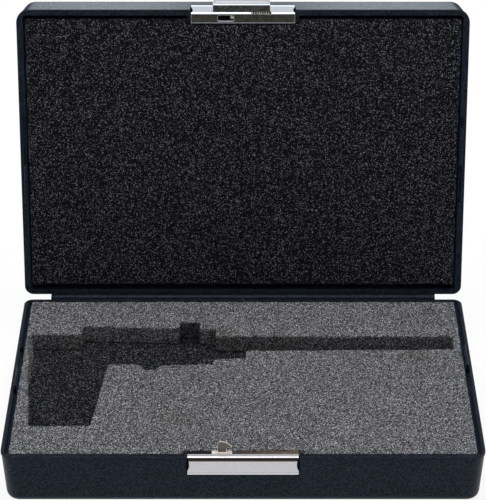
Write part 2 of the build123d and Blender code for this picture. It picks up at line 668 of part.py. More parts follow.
def biarc(start, start_heading, end, end_heading):
    """Two tangent arcs between two points with set headings."""
    chord = end - start
    total = start_heading + end_heading
    spread = 2 * (1 - start_heading.dot(end_heading))
    along = chord.dot(total)
    reach = (sqrt(along ** 2 + spread * chord.dot(chord)) - along) / spread
    first = start + start_heading * reach
    second = end - end_heading * reach
    join = (first + second) * 0.5
    return [Edge.make_tangent_arc(start, start_heading, join),
            Edge.make_tangent_arc(join, second - first, end)]


def coil_spring():
    """The spring's wire, one unbroken tube swept along half-turn biarcs."""
    arcs = []
    for half_turn in range(2 * COIL_TURNS):
        start, start_heading = helix_point(half_turn / 2)
        end, end_heading = helix_point((half_turn + 1) / 2)
        arcs += biarc(start, start_heading, end, end_heading)
    path = Wire(arcs)
    start, start_heading = helix_point(0)
    section = Plane(origin=start, z_dir=start_heading) * RegularPolygon(WIRE_RADIUS, WIRE_SIDES)
    report_least_gap(path)
    return sweep(section, path, clean=False)


def report_least_gap(path):
    """Print how near the spring's turns come to each other, wire surface to wire surface."""
    samples_per_turn = 24
    count = samples_per_turn * COIL_TURNS
    points = [path @ (index / count) for index in range(count + 1)]
    nearest = min(
        (points[i] - points[j]).length
        for i in range(count + 1) for j in range(i + samples_per_turn // 2, count + 1))
    print("spring: least gap to itself %.3f mm" % (nearest - 2 * WIRE_RADIUS))


def latch_cutout(set_back):
    """What the foam leaves free behind a latch plate and its bay."""
    back = PLATE_INBOARD + set_back + PLATE_RIVET_TAIL_HEIGHT + FOAM_LATCH_CLEARANCE
    half = BAY_HALF + BAY_CHEEK + FOAM_LATCH_CLEARANCE
    return block(-half, half, FRONT, FRONT + back, 0, HALF_HEIGHT)


def floor_pad(top, gaps):
    """A foam layer that lies on the tray's floor, its lower edges cut off beside the floor's slope."""
    pad = inner_block(top, CAVITY_DEPTH, gaps, FOAM_CORNER_RADIUS)
    return chamfer(pad.faces().sort_by(Axis.Z)[0].edges(), FOAM_FLOOR_CHAMFER)


def base_foam_pad():
    """The dark lower layer, which is the floor of the tool pocket."""
    return floor_pad(INSERT_LOW, BASE_PAD_GAPS) - latch_cutout(0)


def tool_pocket():
    """Outline of the tool cut through the upper layer: jaws, head, lock screw, beam and thumb rest."""
    wheel = WHEEL_WIDTH / 2
    flat = WHEEL_FLAT / 2
    head_end = HEAD_ACROSS + HEAD_LENGTH
    lock_end = head_end + LOCK_WIDTH
    slot_end = CASE_WIDTH - SLOT_END_MARGIN
    slot_front = SLOT_BACK_DOWN + SLOT_WIDTH
    thumb_back = THUMB_FRONT_DOWN + THUMB_FRONT_SLOPE
    wheel_front = JAW_SHOULDER_DOWN + WHEEL_DROP
    outline = [
        (JAW_ACROSS, JAW_BACK_DOWN), (HEAD_ACROSS, JAW_BACK_DOWN),
        (HEAD_ACROSS, HEAD_BACK_DOWN), (head_end, HEAD_BACK_DOWN + HEAD_BACK_SLOPE),
        (head_end, LOCK_BACK_DOWN), (lock_end, LOCK_BACK_DOWN),
        (lock_end, SHOULDER_BACK_DOWN), (lock_end + SHOULDER_LENGTH, SHOULDER_BACK_DOWN),
        (lock_end + SHOULDER_LENGTH, SLOT_BACK_DOWN), (slot_end, SLOT_BACK_DOWN),
        (slot_end, slot_front), (SLIDE_ACROSS, slot_front + SLOT_FRONT_SLOPE),
        (SLIDE_ACROSS, SLIDE_FRONT_DOWN), (THUMB_ACROSS, SLIDE_FRONT_DOWN + SLIDE_FRONT_SLOPE),
        (THUMB_ACROSS, THUMB_FRONT_DOWN), (WHEEL_ACROSS + wheel, thumb_back),
        (WHEEL_ACROSS + flat, wheel_front), (WHEEL_ACROSS - flat, wheel_front),
        (WHEEL_ACROSS - wheel, JAW_SHOULDER_DOWN), (JAW_ROOT_ACROSS, JAW_SHOULDER_DOWN),
        (JAW_TIP_ACROSS + JAW_TIP_WIDTH, JAW_TIP_DOWN - JAW_TIP_RISE),
        (JAW_TIP_ACROSS, JAW_TIP_DOWN), (JAW_MID_ACROSS, (JAW_BACK_DOWN + JAW_TIP_DOWN) / 2),
    ]
    corners = [(across - CASE_WIDTH / 2, BACK - down) for across, down in outline]
    return make_face(Polyline(*corners, close=True))


def base_foam_insert():
    """The grey upper layer with the tool pocket cut right through it."""
    insert = inner_block(INSERT_DROP, INSERT_LOW, INSERT_GAPS, FOAM_CORNER_RADIUS)
    pocket = tool_pocket()
    pocket = fillet(pocket.vertices(), POCKET_CORNER)
    hole = extrude(pocket, HALF_HEIGHT)
    return insert - hole - latch_cutout(0)


def lid_foam_pad():
    """The one thick pad of the lid, drawn in the base's place."""
    return floor_pad(LID_FOAM_DROP, LID_FOAM_GAPS) - latch_cutout(HOUSING_SET_BACK)


def lid_latch_piece(shape):
    """Put a latch piece that is drawn on the base's rim onto the open lid, set back from its rim."""
    return swing_open(mirror_up(Pos(0, HOUSING_SET_BACK, 0) * shape))


def save(name, shape):
    """Write one node's solids to its file."""
    solids = shape if isinstance(shape, list) else shape.solids()
    whole = solids[0] if len(solids) == 1 else Compound(children=list(solids))
    export_step(whole, "parts/%s.step" % name)


def build():
    """Every node, by name."""
    rivets = plate_rivets()
    return {
        "base_shell": half_moulding(0),
        "base_foam_pad": base_foam_pad(),
        "base_foam_insert": base_foam_insert(),
        "strike_plate": strike_plate(),
        "latch_hook": latch_hook(),
        "strike_plate_rivets": rivets,
        "hinge_pin": hinge_pin(),
        "lid_shell": swing_open(close_half(half_moulding(HOUSING_SET_BACK))),
        "lid_foam_pad": swing_open(close_half(lid_foam_pad())),
        "latch_housing": lid_latch_piece(latch_housing()),
        "latch_housing_rivets": [lid_latch_piece(rivet) for rivet in rivets],
        "catch_spring": lid_latch_piece(coil_spring()),
        "catch_plate": lid_latch_piece(catch_plate()),
        "slider_button": lid_latch_piece(slider_button()),
        "slider_rivets": [lid_latch_piece(stem) for stem in slider_rivets()],
    }


os.makedirs("parts", exist_ok=True)
for node_name, node_shape in build().items():
    save(node_name, node_shape)
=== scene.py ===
import json
import math

import bmesh
import bpy
import numpy as np
from mathutils import Matrix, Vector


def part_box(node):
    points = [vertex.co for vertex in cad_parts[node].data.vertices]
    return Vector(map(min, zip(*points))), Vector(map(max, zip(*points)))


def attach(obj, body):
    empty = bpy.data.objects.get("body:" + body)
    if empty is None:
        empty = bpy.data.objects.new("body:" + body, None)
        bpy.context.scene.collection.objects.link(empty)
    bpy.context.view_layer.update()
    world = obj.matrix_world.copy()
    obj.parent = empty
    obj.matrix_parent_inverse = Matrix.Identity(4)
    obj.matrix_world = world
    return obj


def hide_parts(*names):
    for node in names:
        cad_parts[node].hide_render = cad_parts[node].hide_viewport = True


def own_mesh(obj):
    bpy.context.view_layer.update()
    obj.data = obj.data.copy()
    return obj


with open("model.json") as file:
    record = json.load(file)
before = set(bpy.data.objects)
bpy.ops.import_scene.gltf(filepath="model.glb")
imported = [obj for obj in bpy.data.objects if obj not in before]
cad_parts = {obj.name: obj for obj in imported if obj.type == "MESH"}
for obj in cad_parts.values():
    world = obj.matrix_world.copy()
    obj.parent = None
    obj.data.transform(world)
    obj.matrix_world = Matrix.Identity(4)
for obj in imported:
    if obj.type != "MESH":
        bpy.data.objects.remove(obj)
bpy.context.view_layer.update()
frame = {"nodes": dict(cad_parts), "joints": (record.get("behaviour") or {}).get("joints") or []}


# The camera stands straight in front of the open case, over a metre away and above it.
# A long lens looks down at 27.7 degrees, which is the perspective of the photograph.
def placed(name, data):
    """A new object in the scene for a camera, a lamp or a mesh."""
    thing = bpy.data.objects.new(name, data)
    bpy.context.scene.collection.objects.link(thing)
    return thing


camera_data = bpy.data.cameras.new("camera")
camera_data.sensor_fit = "HORIZONTAL"
camera_data.sensor_width = 36.0
camera_data.lens = 181.53
camera_data.clip_start = 0.05
camera = placed("camera", camera_data)
camera.location = (0.0, -1.193393, 0.734682)
camera.rotation_euler = (math.radians(62.341), 0.0, 0.0)
bpy.context.scene.camera = camera
bpy.context.scene.view_settings.view_transform = "Standard"


# The case stands on a sheet of white paper in a white room. The camera, chrome and glossy plastic
# see sheet and room as plain white, and the sheet still takes the case's shadow.
def linear(colour):
    """An sRGB hex colour as linear red, green, blue and alpha."""
    channels = [int(colour[i:i + 2], 16) / 255 for i in (1, 3, 5)]
    return [c / 12.92 if c <= 0.04045 else ((c + 0.055) / 1.055) ** 2.4 for c in channels] + [1.0]


def add_node(tree, kind, settings, links=(), stops=()):
    """Add a node, set its properties or sockets, and link (socket, node, output) to it.

    A colour ramp's stops are pairs of a position and an sRGB hex colour, in order.
    """
    node = tree.nodes.new(kind)
    for name, value in settings.items():
        if isinstance(name, str) and hasattr(node, name):
            setattr(node, name, value)
        else:
            node.inputs[name].default_value = value
    for socket, source, output in links:
        tree.links.new(source.outputs[output], node.inputs[socket])
    if stops:
        for position, _ in stops[1:-1]:
            node.color_ramp.elements.new(position)
        for stop, (position, colour) in zip(node.color_ramp.elements, stops):
            stop.position = position
            stop.color = linear(colour)
    return node


def empty_material(name):
    """A material with no nodes yet."""
    material = bpy.data.materials.new(name)
    material.use_nodes = True
    material.node_tree.nodes.clear()
    return material


def seen_directly(tree):
    """One where the camera, gloss or glass looks at a surface, and zero where light leaves it."""
    path = add_node(tree, "ShaderNodeLightPath", {})
    seen = add_node(tree, "ShaderNodeMath", {"operation": "MAXIMUM"},
                    [(0, path, "Is Camera Ray"), (1, path, "Is Glossy Ray")])
    return add_node(tree, "ShaderNodeMath", {"operation": "MAXIMUM"},
                    [(0, seen, 0), (1, path, "Is Transmission Ray")])


def finished(shape, name, *materials):
    """A bmesh made into an object in the scene, with its materials."""
    mesh = bpy.data.meshes.new(name)
    shape.to_mesh(mesh)
    shape.free()
    for material in materials:
        mesh.materials.append(material)
    return placed(name, mesh)


SHADOW_SHARE = 0.15
sheet_paper = empty_material("white_paper_sheet")
tree = sheet_paper.node_tree
lit = add_node(tree, "ShaderNodeBsdfDiffuse", {"Color": linear("#FBFBFB")})
glow = add_node(tree, "ShaderNodeEmission", {"Color": linear("#FFFFFF"), "Strength": 1.03})
share = add_node(tree, "ShaderNodeMath", {"operation": "MULTIPLY", 1: 1.0 - SHADOW_SHARE},
                 [(0, seen_directly(tree), 0)])
paper = add_node(tree, "ShaderNodeMixShader", {}, [(0, share, 0), (1, lit, 0), (2, glow, 0)])
add_node(tree, "ShaderNodeOutputMaterial", {}, [("Surface", paper, 0)])
shape = bmesh.new()
bmesh.ops.create_grid(shape, x_segments=1, y_segments=1, size=4.0)
finished(shape, "studio_floor", sheet_paper)

world = bpy.data.worlds.new("white_room")
bpy.context.scene.world = world
world.use_nodes = True
world.node_tree.nodes.clear()
tree = world.node_tree
strength = add_node(tree, "ShaderNodeMapRange", {"To Min": 0.3, "To Max": 1.0},
                    [("Value", seen_directly(tree), 0)])
room = add_node(tree, "ShaderNodeBackground", {"Color": linear("#FFFFFF")}, [("Strength", strength, 0)])
add_node(tree, "ShaderNodeOutputWorld", {}, [("Surface", room, 0)])


# Two soft studio lamps. The overhead one lights the foam. The rear one is low and a little blue, and
# its glare turns the lid's top wall pale.
def softbox(name, place, target, width, height, power, tint):
    """A rectangular studio lamp at a place, turned to face a target."""
    data = bpy.data.lights.new(name, "AREA")
    data.shape = "RECTANGLE"
    data.size = width
    data.size_y = height
    data.energy = power
    data.color = tint
    lamp = placed(name, data)
    lamp.location = place
    away = [a - b for a, b in zip(place, target)]
    lamp.rotation_euler = (math.atan2(math.hypot(away[0], away[1]), away[2]), 0.0,
                           math.atan2(away[0], -away[1]))


softbox("overhead_softbox", (0.0, -0.15, 1.5), (0.0, 0.0, 0.0), 1.3, 1.0, 15.0, (1.0, 1.0, 1.0))
softbox("rear_softbox", (0.0, 1.6, 0.75), (0.0, 0.1, 0.15), 1.6, 1.0, 10.2, (0.79, 0.9, 1.0))


# Dark boards stand far in front and to both sides behind the case. Only gloss sees them, so chrome
# that faces forwards shows a dark brown, and the side rims stay black. A small white card behind the
# latch keeps the glare of the rear lamp out of its chrome.
board_cloth = empty_material("dark_brown_board")
tree = board_cloth.node_tree
place = add_node(tree, "ShaderNodeTexCoord", {})
folds = add_node(tree, "ShaderNodeTexNoise", {"Scale": 9.0, "Detail": 3.0}, [("Vector", place, "Object")])
colour = add_node(tree, "ShaderNodeValToRGB", {}, [("Fac", folds, 0)],
                  [(0.3, "#24221D"), (0.7, "#4E4A3E")])
cloth = add_node(tree, "ShaderNodeEmission", {}, [("Color", colour, 0)])
add_node(tree, "ShaderNodeOutputMaterial", {}, [("Surface", cloth, 0)])


def studio_board(name, low, high, y, material):
    """An upright board at y that only gloss sees, between two corners given as (x, z)."""
    shape = bmesh.new()
    bmesh.ops.create_grid(shape, x_segments=1, y_segments=1, size=0.5)
    bmesh.ops.scale(shape, verts=shape.verts, vec=(high[0] - low[0], high[1] - low[1], 1.0))
    bmesh.ops.rotate(shape, verts=shape.verts, cent=(0.0, 0.0, 0.0),
                     matrix=Matrix.Rotation(math.radians(90.0), 3, "X"))
    middle = ((low[0] + high[0]) / 2, y, (low[1] + high[1]) / 2)
    bmesh.ops.translate(shape, verts=shape.verts, vec=middle)
    board = finished(shape, name, material)
    board.visible_camera = False
    board.visible_diffuse = False
    board.visible_shadow = False
    board.visible_transmission = False


white_card = empty_material("white_card")
tree = white_card.node_tree
glow = add_node(tree, "ShaderNodeEmission", {"Color": linear("#FFFFFF"), "Strength": 1.0})
add_node(tree, "ShaderNodeOutputMaterial", {}, [("Surface", glow, 0)])
studio_board("front_board", (-0.8, 0.001), (0.8, 0.15), -0.55, board_cloth)
studio_board("left_board", (-0.55, 0.001), (-0.145, 0.5), 0.3, board_cloth)
studio_board("right_board", (0.145, 0.001), (0.55, 0.5), 0.3, board_cloth)
studio_board("latch_card", (-0.04, 0.205), (0.04, 0.42), 0.3, white_card)


# Both halves of the case are injection-moulded ABS, black with a fine spark-eroded grain. The grain
# spreads the light, so flat walls look slate black and only low light glares on them.
# The real grain is 0.1 mm, too fine to show, and is drawn at 0.6 mm.
def zone(tree, *edges):
    """One inside a zone of a piece and zero outside it.

    Each edge is a node, its output, and the values of it that are just outside and just inside.
    """
    inside = None
    for source, output, outer, inner in edges:
        edge = add_node(tree, "ShaderNodeMapRange", {"From Min": outer, "From Max": inner},
                        [("Value", source, output)])
        if inside is None:
            inside = edge
        else:
            inside = add_node(tree, "ShaderNodeMath", {"operation": "MULTIPLY"},
                              [(0, inside, 0), (1, edge, 0)])
    return inside


ABS_GRAIN = 0.0006
abs_moulded = empty_material("abs_black_spark_eroded")
tree = abs_moulded.node_tree
place = add_node(tree, "ShaderNodeTexCoord", {})
pits = add_node(tree, "ShaderNodeTexVoronoi", {"Scale": 1.0 / ABS_GRAIN}, [("Vector", place, "Object")])
each = add_node(tree, "ShaderNodeSeparateColor", {}, [("Color", pits, "Color")])
grain = add_node(tree, "ShaderNodeTexNoise",
                 {"Scale": 1.0 / ABS_GRAIN, "Detail": 2.0, "Roughness": 0.6},
                 [("Vector", place, "Object")])
cloud = add_node(tree, "ShaderNodeTexNoise", {"Scale": 60.0, "Detail": 2.0}, [("Vector", place, "Object")])
tone = add_node(tree, "ShaderNodeMath", {"operation": "MULTIPLY_ADD", 1: 0.35},
                [(0, cloud, 0), (2, each, "Red")])
colour = add_node(tree, "ShaderNodeValToRGB", {}, [("Fac", tone, 0)],
                  [(0.38, "#020303"), (1.0, "#272C33")])
rough = add_node(tree, "ShaderNodeMapRange", {"To Min": 0.3, "To Max": 0.5}, [("Value", each, "Green")])
bump = add_node(tree, "ShaderNodeBump", {"Strength": 0.7, "Distance": 0.0002}, [("Height", grain, 0)])
# The inner 1.4 mm of the base's side rims carry painted shade beside the foam: their colour is darkened,
# and they are dull.
spot = add_node(tree, "ShaderNodeSeparateXYZ", {}, [("Vector", place, "Object")])
across = add_node(tree, "ShaderNodeMath", {"operation": "ABSOLUTE"}, [(0, spot, "X")])
shade = zone(tree, (across, 0, 0.1284, 0.1276), (across, 0, 0.1258, 0.1262),
             (spot, "Z", 0.0309, 0.0307), (spot, "Z", 0.0270, 0.0285), (spot, "Y", -0.0846, -0.0838))
dimmed = add_node(tree, "ShaderNodeMapRange", {"To Min": 1.0, "To Max": 0.05}, [("Value", shade, 0)])
paint = add_node(tree, "ShaderNodeVectorMath", {"operation": "SCALE"},
                 [("Vector", colour, 0), ("Scale", dimmed, 0)])
matt = add_node(tree, "ShaderNodeMath", {"operation": "MAXIMUM"}, [(0, rough, 0), (1, shade, 0)])
skin = add_node(tree, "ShaderNodeBsdfPrincipled",
                {"Specular IOR Level": 0.2, "Specular Tint": linear("#A8C4F0"),
                 "Sheen Weight": 0.12, "Sheen Roughness": 0.35, "Sheen Tint": linear("#98B8F0")},
                [("Base Color", paint, 0), ("Roughness", matt, 0), ("Normal", bump, 0)])
add_node(tree, "ShaderNodeOutputMaterial", {}, [("Surface", skin, 0)])


def dress(node_name, material):
    """Give a CAD node its finish."""
    piece = frame["nodes"][node_name]
    piece.data.materials.clear()
    piece.data.materials.append(material)


dress("base_shell", abs_moulded)
dress("lid_shell", abs_moulded)


# Hinge hood: a thin curved rib of the same ABS, moulded on the lid's back wall. It goes round behind
# the barrels, so no light comes through between them. It is swept about the hinge line.
HOOD_RADIUS = 0.00215
HOOD_WALL = 0.0006
HOOD_START = 165.0
HOOD_END = 54.0
HOOD_HALF_LENGTH = 0.1143
joints = {joint["name"]: joint for joint in frame["joints"]}
open_angle = joints["lid_hinge"]["range_deg"][1]
shape = bmesh.new()
inner = shape.verts.new((-HOOD_HALF_LENGTH, HOOD_RADIUS, 0.0))
outer = shape.verts.new((-HOOD_HALF_LENGTH, HOOD_RADIUS + HOOD_WALL, 0.0))
rib = shape.edges.new((inner, outer))
bmesh.ops.rotate(shape, verts=shape.verts, cent=(0.0, 0.0, 0.0),
                 matrix=Matrix.Rotation(math.radians(HOOD_END - open_angle), 3, "X"))
bmesh.ops.spin(shape, geom=[rib, inner, outer], cent=(0.0, 0.0, 0.0), axis=(1.0, 0.0, 0.0),
               angle=math.radians(HOOD_START - HOOD_END), steps=18)
drawn = bmesh.ops.extrude_face_region(shape, geom=shape.faces[:])
bmesh.ops.translate(shape, verts=[v for v in drawn["geom"] if isinstance(v, bmesh.types.BMVert)],
                    vec=(2 * HOOD_HALF_LENGTH, 0.0, 0.0))
bmesh.ops.translate(shape, verts=shape.verts, vec=joints["lid_hinge"]["pos_m"])
bmesh.ops.recalc_face_normals(shape, faces=shape.faces)
hood = finished(shape, "hinge_hood", abs_moulded)
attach(hood, "lid")


# Foam: every piece is knife-cut from open-cell polyurethane sheet and lies loose in its tray. Its
# cells are about 0.4 mm. Painted pore shade and painted light on the cut struts show as grain.
CELL = 0.0004


def foam_material(name, painted_pore_shade, body, painted_lit_strut, painted_glint, stain, wall_shade):
    """Open-cell foam of four tones, from painted pore shade to the odd strut's painted glint, and stains.
    """
    material = empty_material(name)
    tree = material.node_tree
    place = add_node(tree, "ShaderNodeTexCoord", {})
    cells = add_node(tree, "ShaderNodeTexVoronoi", {"Scale": 1.0 / CELL}, [("Vector", place, "Object")])
    each = add_node(tree, "ShaderNodeSeparateColor", {}, [("Color", cells, "Color")])
    colour = add_node(tree, "ShaderNodeValToRGB", {}, [("Fac", each, "Red")],
                      [(0.0, painted_pore_shade), (0.5, body), (0.85, painted_lit_strut), (1.0, painted_glint)])
    drift = add_node(tree, "ShaderNodeTexNoise", {"Scale": 35.0, "Detail": 3.0},
                     [("Vector", place, "Object")])
    patch = add_node(tree, "ShaderNodeMapRange", {"From Min": 0.55, "From Max": 0.75, "To Max": 0.5},
                     [("Value", drift, 0)])
    stained = add_node(tree, "ShaderNodeMix",
                       {"data_type": "RGBA", "blend_type": "MULTIPLY", 7: linear(stain)},
                       [("Factor", patch, 0), (6, colour, 0)])
    # Cut walls carry painted shade, darker than the top. The thin wall left of the long jaw carries
    # painted light, and is paler.
    spot = add_node(tree, "ShaderNodeSeparateXYZ", {}, [("Vector", place, "Object")])
    painted_light_wall = zone(tree, (spot, "X", -0.1175, -0.1205), (spot, "Y", 0.0457, 0.0452))
    wall = add_node(tree, "ShaderNodeMapRange", {"To Min": wall_shade, "To Max": 1.6},
                    [("Value", painted_light_wall, 0)])
    # The short recess at the back of the pocket, 31.2 mm left of the middle, carries the darkest painted
    # shade.
    offset = add_node(tree, "ShaderNodeMath", {"operation": "SUBTRACT", 1: -0.0312}, [(0, spot, "X")])
    aside = add_node(tree, "ShaderNodeMath", {"operation": "ABSOLUTE"}, [(0, offset, 0)])
    recess = zone(tree, (aside, 0, 0.0063, 0.0059), (spot, "Y", 0.0510, 0.0540))
    painted_recess_shade = add_node(tree, "ShaderNodeMapRange", {"To Min": 1.0, "To Max": 0.45}, [("Value", recess, 0)])
    wall = add_node(tree, "ShaderNodeMath", {"operation": "MULTIPLY"}, [(0, wall, 0), (1, painted_recess_shade, 0)])
    top = zone(tree, (spot, "Z", 0.0287, 0.0297))
    shade = add_node(tree, "ShaderNodeMix", {"data_type": "FLOAT", "B": 1.0},
                     [("Factor", top, 0), (2, wall, 0)])
    shaded = add_node(tree, "ShaderNodeVectorMath", {"operation": "SCALE"},
                      [("Vector", stained, 2), ("Scale", shade, 0)])
    bump = add_node(tree, "ShaderNodeBump", {"Strength": 0.5, "Distance": 0.0002},
                    [("Height", each, "Red")])
    skin = add_node(tree, "ShaderNodeBsdfPrincipled", {"Roughness": 0.95, "Specular IOR Level": 0.1},
                    [("Base Color", shaded, 0), ("Normal", bump, 0)])
    add_node(tree, "ShaderNodeOutputMaterial", {}, [("Surface", skin, 0)])
    return material


def foam_mesh(node_name, name, voxel):
    """The CAD block as an even, soft-edged mesh of voxel-sized faces."""
    shape = bmesh.new()
    shape.from_mesh(frame["nodes"][node_name].data)
    bmesh.ops.remove_doubles(shape, verts=shape.verts, dist=1e-6)
    piece = finished(shape, name)
    remesh = piece.modifiers.new("cells", "REMESH")
    remesh.mode = "VOXEL"
    remesh.voxel_size = voxel
    remesh.use_smooth_shade = True
    remeshed = piece.evaluated_get(bpy.context.evaluated_depsgraph_get())
    piece.data = bpy.data.meshes.new_from_object(remeshed)
    piece.modifiers.clear()
    return piece


KNIFE_WANDER = 0.00007


def roughen(piece, relief, seed):
    """Give the cut faces the unevenness of open cells, and the cuts the slight wander of a knife."""
    mesh = piece.data
    count = len(mesh.vertices)
    points = np.empty(count * 3, np.float32)
    mesh.vertices.foreach_get("co", points)
    points = points.reshape(-1, 3)
    normals = np.empty(count * 3, np.float32)
    mesh.vertex_normals.foreach_get("vector", normals)
    draw = np.random.default_rng(seed)
    cells = draw.normal(0.0, relief, count).astype(np.float32)
    points += normals.reshape(-1, 3) * cells[:, None]
    for wave in (0.014, 0.023, 0.041):
        across, along = draw.uniform(0.0, 2 * math.pi, 2)
        points[:, 0] += KNIFE_WANDER * np.sin(2 * math.pi * points[:, 1] / wave + across)
        points[:, 1] += KNIFE_WANDER * np.sin(2 * math.pi * points[:, 0] / wave + along)
    mesh.vertices.foreach_set("co", points.ravel())


def lean_thin_wall(piece):
    """Let the narrow foam wall left of the long jaw lean out over its top and in at its foot."""
    # In mm: across is from the case's left side, and down is from its back.
    case_left, case_back = -130.0, 87.5
    lean_start, wall_back, wall_front = 39.5, 41.6, 92.0
    outer_edge, mid_pocket = 4.6, 15.0
    layer_underside, layer_thickness = 19.0, 11.0
    for vertex in piece.data.vertices:
        across = 1000 * vertex.co.x - case_left
        down = case_back - 1000 * vertex.co.y
        if across > mid_pocket or not lean_start < down < wall_front:
            continue
        inner_edge = np.interp(down, (wall_back, wall_front), (6.7, 8.7))
        share = min(max((across - outer_edge) / (inner_edge - outer_edge), 0.0), 1.0)
        rise = min(max((1000 * vertex.co.z - layer_underside) / layer_thickness, 0.0), 1.0)
        top = np.interp(down, (39.5, 43.0, 48.8, 60.4, 83.0), (0.0, -1.0, -1.1, -0.64, 0.0))
        foot = np.interp(down, (39.5, 44.0, 53.0, 62.0, 73.0, 84.0), (0.0, 1.2, 1.45, 0.9, 0.2, 0.0))
        vertex.co.x += 0.001 * share * (foot + (top - foot) * rise ** 2)


def finish_foam(piece, node_name, material, body):
    """Give a foam piece its material and its place in the model."""
    piece.data.materials.clear()
    piece.data.materials.append(material)
    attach(piece, body)
    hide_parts(node_name)


# Tones: painted pore shade, body, painted light on struts, painted glint, stain, and painted wall shade.
grey_foam = foam_material("polyurethane_foam_grey",
                          "#050506", "#494A4D", "#8F9095", "#E6E6EA", "#C9C0AE", 0.78)
dark_foam = foam_material("polyurethane_foam_charcoal",
                          "#000001", "#0C0D10", "#1E1F25", "#92929C", "#E0E0E0", 1.0)
pocket_foam = foam_mesh("base_foam_insert", "pocket_foam", 0.00065)
lean_thin_wall(pocket_foam)
roughen(pocket_foam, 0.00008, 1)
finish_foam(pocket_foam, "base_foam_insert", grey_foam, "base")
floor_foam = foam_mesh("base_foam_pad", "floor_foam", 0.0011)
roughen(floor_foam, 0.0001, 2)
finish_foam(floor_foam, "base_foam_pad", dark_foam, "base")
lid_foam = foam_mesh("lid_foam_pad", "lid_foam", 0.0009)
roughen(lid_foam, 0.0001, 3)
finish_foam(lid_foam, "lid_foam_pad", dark_foam, "lid")


# Hinge rod: steel wire pushed through all the barrels. It is blackened, so it doesn't glint in the
# gaps between them, and only its ends show.
def metal(name, tint, smooth, dull, mottle):
    """Bare or plated metal whose gloss changes a little from place to place over mottle metres."""
    material = empty_material(name)
    tree = material.node_tree
    place = add_node(tree, "ShaderNodeTexCoord", {})
    haze = add_node(tree, "ShaderNodeTexNoise", {"Scale": 1.0 / mottle, "Detail": 3.0},
                    [("Vector", place, "Object")])
    rough = add_node(tree, "ShaderNodeMapRange",
                     {"From Min": 0.3, "From Max": 0.7, "To Min": smooth, "To Max": dull},
                     [("Value", haze, 0)])
    skin = add_node(tree, "ShaderNodeBsdfPrincipled", {"Base Color": linear(tint), "Metallic": 1.0},
                    [("Roughness", rough, 0)])
    add_node(tree, "ShaderNodeOutputMaterial", {}, [("Surface", skin, 0)])
    return material


dress("hinge_pin", metal("blackened_steel_rod", "#2E2E30", 0.3, 0.5, 0.003))


# Strike plate of the base: pressed from 0.6 mm steel sheet and bright chromed. Its flat top is rubbed dull
# beside the rolled bead and worn to the right, where it also has a painted brown reflection. The groove
# under the bead has dark, brownish painted shade, and the lip at the foot of the leaf the brightest
# painted highlight.
strike_chrome = empty_material("chromed_strike_plate")
tree = strike_chrome.node_tree
place = add_node(tree, "ShaderNodeTexCoord", {})
spot = add_node(tree, "ShaderNodeSeparateXYZ", {}, [("Vector", place, "Object")])
# Painted shade: the groove under the bead is painted dark and brownish.
groove = zone(tree, (spot, "Z", 0.0268, 0.0277), (spot, "Z", 0.0295, 0.0292),
              (spot, "Y", -0.0860, -0.0864))
colour = add_node(tree, "ShaderNodeValToRGB", {}, [("Fac", groove, 0)],
                  [(0.0, "#C2C1C6"), (0.3, "#A3947C"), (0.65, "#4A4036"), (1.0, "#22222A")])
# Painted highlight: the lip at the foot of the leaf is painted pale blue-white.
painted_lip_highlight = zone(tree, (spot, "Z", 0.0206, 0.0203))
colour = add_node(tree, "ShaderNodeMix", {"data_type": "RGBA", 7: linear("#F2F8FF")},
                  [("Factor", painted_lip_highlight, 0), (6, colour, 0)])
on_top = (spot, "Z", 0.0293, 0.0295)
to_right = (spot, "X", -0.02, 0.028)
rubbed = zone(tree, on_top, (spot, "Y", -0.0837, -0.0841), (spot, "Y", -0.0858, -0.0853))
worn = zone(tree, to_right, on_top)
# Painted reflection: the flat top behind the rubbed strip is painted brown to the right.
painted_brown_reflection = zone(tree, to_right, on_top, (spot, "Y", -0.0841, -0.0837))
worn = add_node(tree, "ShaderNodeMapRange", {"To Max": 0.25}, [("Value", worn, 0)])
rubbed = add_node(tree, "ShaderNodeMath", {"operation": "MAXIMUM"}, [(0, worn, 0), (1, rubbed, 0)])
haze = add_node(tree, "ShaderNodeTexNoise", {"Scale": 300.0, "Detail": 3.0}, [("Vector", place, "Object")])
gloss = add_node(tree, "ShaderNodeMapRange",
                 {"From Min": 0.3, "From Max": 0.7, "To Min": 0.06, "To Max": 0.14},
                 [("Value", haze, 0)])
rough = add_node(tree, "ShaderNodeMix", {"data_type": "FLOAT", "B": 0.6},
                 [("Factor", rubbed, 0), (2, gloss, 0)])
plated = add_node(tree, "ShaderNodeMapRange", {"To Min": 1.0, "To Max": 0.15}, [("Value", rubbed, 0)])
colour = add_node(tree, "ShaderNodeMix", {"data_type": "RGBA", 7: linear("#C2A68C")},
                  [("Factor", painted_brown_reflection, 0), (6, colour, 2)])
skin = add_node(tree, "ShaderNodeBsdfPrincipled", {},
                [("Base Color", colour, 2), ("Roughness", rough, 0), ("Metallic", plated, 0)])
add_node(tree, "ShaderNodeOutputMaterial", {}, [("Surface", skin, 0)])

# Faces within FLAT of each other are joined. Edges past SHARP are eased, and past CRISP not smoothed.
FLAT = math.radians(0.5)
SHARP = math.radians(40.0)
CRISP = math.radians(50.0)


